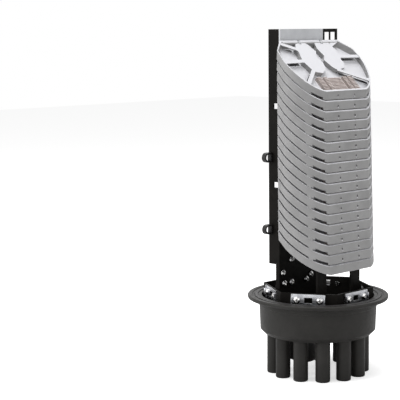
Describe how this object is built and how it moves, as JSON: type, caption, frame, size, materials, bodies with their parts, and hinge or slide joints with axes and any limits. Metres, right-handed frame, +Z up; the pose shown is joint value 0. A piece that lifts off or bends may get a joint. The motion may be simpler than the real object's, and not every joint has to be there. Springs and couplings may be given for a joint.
{
  "type": "dome splice closure",
  "caption": "Opened dome-type fibre splice closure: a round base with closed cable ports, a back frame, cable brackets and a fan of hinged splice trays.",
  "frame": {"origin": "on the base's axis, level with the closed ends of the round cable ports", "axes": "+Z up along the base's axis, towards the top of the back frame; the trays face -Y and +X is to their right seen from the front"},
  "size_m": [0.21, 0.21, 0.5115],
  "materials": {
    "base_plastic": "satin moulded charcoal polypropylene",
    "seal_rubber": "soft black rubber",
    "black_steel": "black powder coat",
    "zinc_steel": "bright zinc plate",
    "screw_steel": "bright zinc plate",
    "holder_plastic": "light grey moulded plastic",
    "tray_plastic": "grey moulded plastic",
    "comb_rubber": "soft pinkish beige elastomer",
    "hook_plastic": "black plastic"
  },
  "bodies": {
    "housing": {"base": "base_plastic", "seal_ring": "seal_rubber", "bracket_ring": "black_steel", "bracket_screws": "screw_steel", "back_frame": "black_steel", "frame_screws": "screw_steel", "front_post_left": "black_steel", "front_post_right": "black_steel", "support_tray": "tray_plastic", "cable_bracket_1": "zinc_steel", "cable_bracket_2": "zinc_steel", "cable_bracket_3": "zinc_steel", "cable_bracket_4": "zinc_steel", "cable_bracket_5": "zinc_steel", "cable_bracket_6": "zinc_steel", "guide_hook_1": "hook_plastic", "guide_hook_2": "hook_plastic", "tray_holder": "holder_plastic"},
    "hinged_tray_1": {"tray_1": "tray_plastic", "comb_1": "comb_rubber"},
    "hinged_tray_2": {"tray_2": "tray_plastic", "comb_2": "comb_rubber"},
    "hinged_tray_3": {"tray_3": "tray_plastic", "comb_3": "comb_rubber"},
    "hinged_tray_4": {"tray_4": "tray_plastic", "comb_4": "comb_rubber"},
    "hinged_tray_5": {"tray_5": "tray_plastic", "comb_5": "comb_rubber"},
    "hinged_tray_6": {"tray_6": "tray_plastic", "comb_6": "comb_rubber"},
    "hinged_tray_7": {"tray_7": "tray_plastic", "comb_7": "comb_rubber"},
    "hinged_tray_8": {"tray_8": "tray_plastic", "comb_8": "comb_rubber"},
    "hinged_tray_9": {"tray_9": "tray_plastic", "comb_9": "comb_rubber"},
    "hinged_tray_10": {"tray_10": "tray_plastic", "comb_10": "comb_rubber"},
    "hinged_tray_11": {"tray_11": "tray_plastic", "comb_11": "comb_rubber"},
    "hinged_tray_12": {"tray_12": "tray_plastic", "comb_12": "comb_rubber"},
    "hinged_tray_13": {"tray_13": "tray_plastic", "comb_13": "comb_rubber"},
    "hinged_tray_14": {"tray_14": "tray_plastic", "comb_14": "comb_rubber"},
    "hinged_tray_15": {"tray_15": "tray_plastic", "comb_15": "comb_rubber"},
    "hinged_tray_16": {"tray_16": "tray_plastic", "comb_16": "comb_rubber"},
    "hinged_tray_17": {"tray_17": "tray_plastic", "comb_17": "comb_rubber"}
  },
  "joints": [
    {"name": "tray_1_hinge", "type": "hinge", "parent": "housing", "child": "hinged_tray_1", "pos_m": [-0.007, 0.0112, 0.4905], "axis": [-1, 0, 0], "range_deg": [0, 70]},
    {"name": "tray_2_hinge", "type": "hinge", "parent": "housing", "child": "hinged_tray_2", "pos_m": [-0.007, 0.0112, 0.47514], "axis": [-1, 0, 0], "range_deg": [0, 70]},
    {"name": "tray_3_hinge", "type": "hinge", "parent": "housing", "child": "hinged_tray_3", "pos_m": [-0.007, 0.0112, 0.45978], "axis": [-1, 0, 0], "range_deg": [0, 70]},
    {"name": "tray_4_hinge", "type": "hinge", "parent": "housing", "child": "hinged_tray_4", "pos_m": [-0.007, 0.0112, 0.44442], "axis": [-1, 0, 0], "range_deg": [0, 70]},
    {"name": "tray_5_hinge", "type": "hinge", "parent": "housing", "child": "hinged_tray_5", "pos_m": [-0.007, 0.0112, 0.42906], "axis": [-1, 0, 0], "range_deg": [0, 70]},
    {"name": "tray_6_hinge", "type": "hinge", "parent": "housing", "child": "hinged_tray_6", "pos_m": [-0.007, 0.0112, 0.4137], "axis": [-1, 0, 0], "range_deg": [0, 70]},
    {"name": "tray_7_hinge", "type": "hinge", "parent": "housing", "child": "hinged_tray_7", "pos_m": [-0.007, 0.0112, 0.39834], "axis": [-1, 0, 0], "range_deg": [0, 70]},
    {"name": "tray_8_hinge", "type": "hinge", "parent": "housing", "child": "hinged_tray_8", "pos_m": [-0.007, 0.0112, 0.38298], "axis": [-1, 0, 0], "range_deg": [0, 70]},
    {"name": "tray_9_hinge", "type": "hinge", "parent": "housing", "child": "hinged_tray_9", "pos_m": [-0.007, 0.0112, 0.36762], "axis": [-1, 0, 0], "range_deg": [0, 70]},
    {"name": "tray_10_hinge", "type": "hinge", "parent": "housing", "child": "hinged_tray_10", "pos_m": [-0.007, 0.0112, 0.35226], "axis": [-1, 0, 0], "range_deg": [0, 70]},
    {"name": "tray_11_hinge", "type": "hinge", "parent": "housing", "child": "hinged_tray_11", "pos_m": [-0.007, 0.0112, 0.3369], "axis": [-1, 0, 0], "range_deg": [0, 70]},
    {"name": "tray_12_hinge", "type": "hinge", "parent": "housing", "child": "hinged_tray_12", "pos_m": [-0.007, 0.0112, 0.32154], "axis": [-1, 0, 0], "range_deg": [0, 70]},
    {"name": "tray_13_hinge", "type": "hinge", "parent": "housing", "child": "hinged_tray_13", "pos_m": [-0.007, 0.0112, 0.30618], "axis": [-1, 0, 0], "range_deg": [0, 70]},
    {"name": "tray_14_hinge", "type": "hinge", "parent": "housing", "child": "hinged_tray_14", "pos_m": [-0.007, 0.0112, 0.29082], "axis": [-1, 0, 0], "range_deg": [0, 70]},
    {"name": "tray_15_hinge", "type": "hinge", "parent": "housing", "child": "hinged_tray_15", "pos_m": [-0.007, 0.0112, 0.27546], "axis": [-1, 0, 0], "range_deg": [0, 70]},
    {"name": "tray_16_hinge", "type": "hinge", "parent": "housing", "child": "hinged_tray_16", "pos_m": [-0.007, 0.0112, 0.2601], "axis": [-1, 0, 0], "range_deg": [0, 70]},
    {"name": "tray_17_hinge", "type": "hinge", "parent": "housing", "child": "hinged_tray_17", "pos_m": [-0.007, 0.0112, 0.24474], "axis": [-1, 0, 0], "range_deg": [0, 70]}
  ],
  "couplings": [
    {"joint": "tray_2_hinge", "follows": "tray_1_hinge", "ratio": 1},
    {"joint": "tray_3_hinge", "follows": "tray_1_hinge", "ratio": 1},
    {"joint": "tray_4_hinge", "follows": "tray_1_hinge", "ratio": 1},
    {"joint": "tray_5_hinge", "follows": "tray_1_hinge", "ratio": 1},
    {"joint": "tray_6_hinge", "follows": "tray_1_hinge", "ratio": 1},
    {"joint": "tray_7_hinge", "follows": "tray_1_hinge", "ratio": 1},
    {"joint": "tray_8_hinge", "follows": "tray_1_hinge", "ratio": 1},
    {"joint": "tray_9_hinge", "follows": "tray_1_hinge", "ratio": 1},
    {"joint": "tray_10_hinge", "follows": "tray_1_hinge", "ratio": 1},
    {"joint": "tray_11_hinge", "follows": "tray_1_hinge", "ratio": 1},
    {"joint": "tray_12_hinge", "follows": "tray_1_hinge", "ratio": 1},
    {"joint": "tray_13_hinge", "follows": "tray_1_hinge", "ratio": 1},
    {"joint": "tray_14_hinge", "follows": "tray_1_hinge", "ratio": 1},
    {"joint": "tray_15_hinge", "follows": "tray_1_hinge", "ratio": 1},
    {"joint": "tray_16_hinge", "follows": "tray_1_hinge", "ratio": 1},
    {"joint": "tray_17_hinge", "follows": "tray_1_hinge", "ratio": 1}
  ]
}
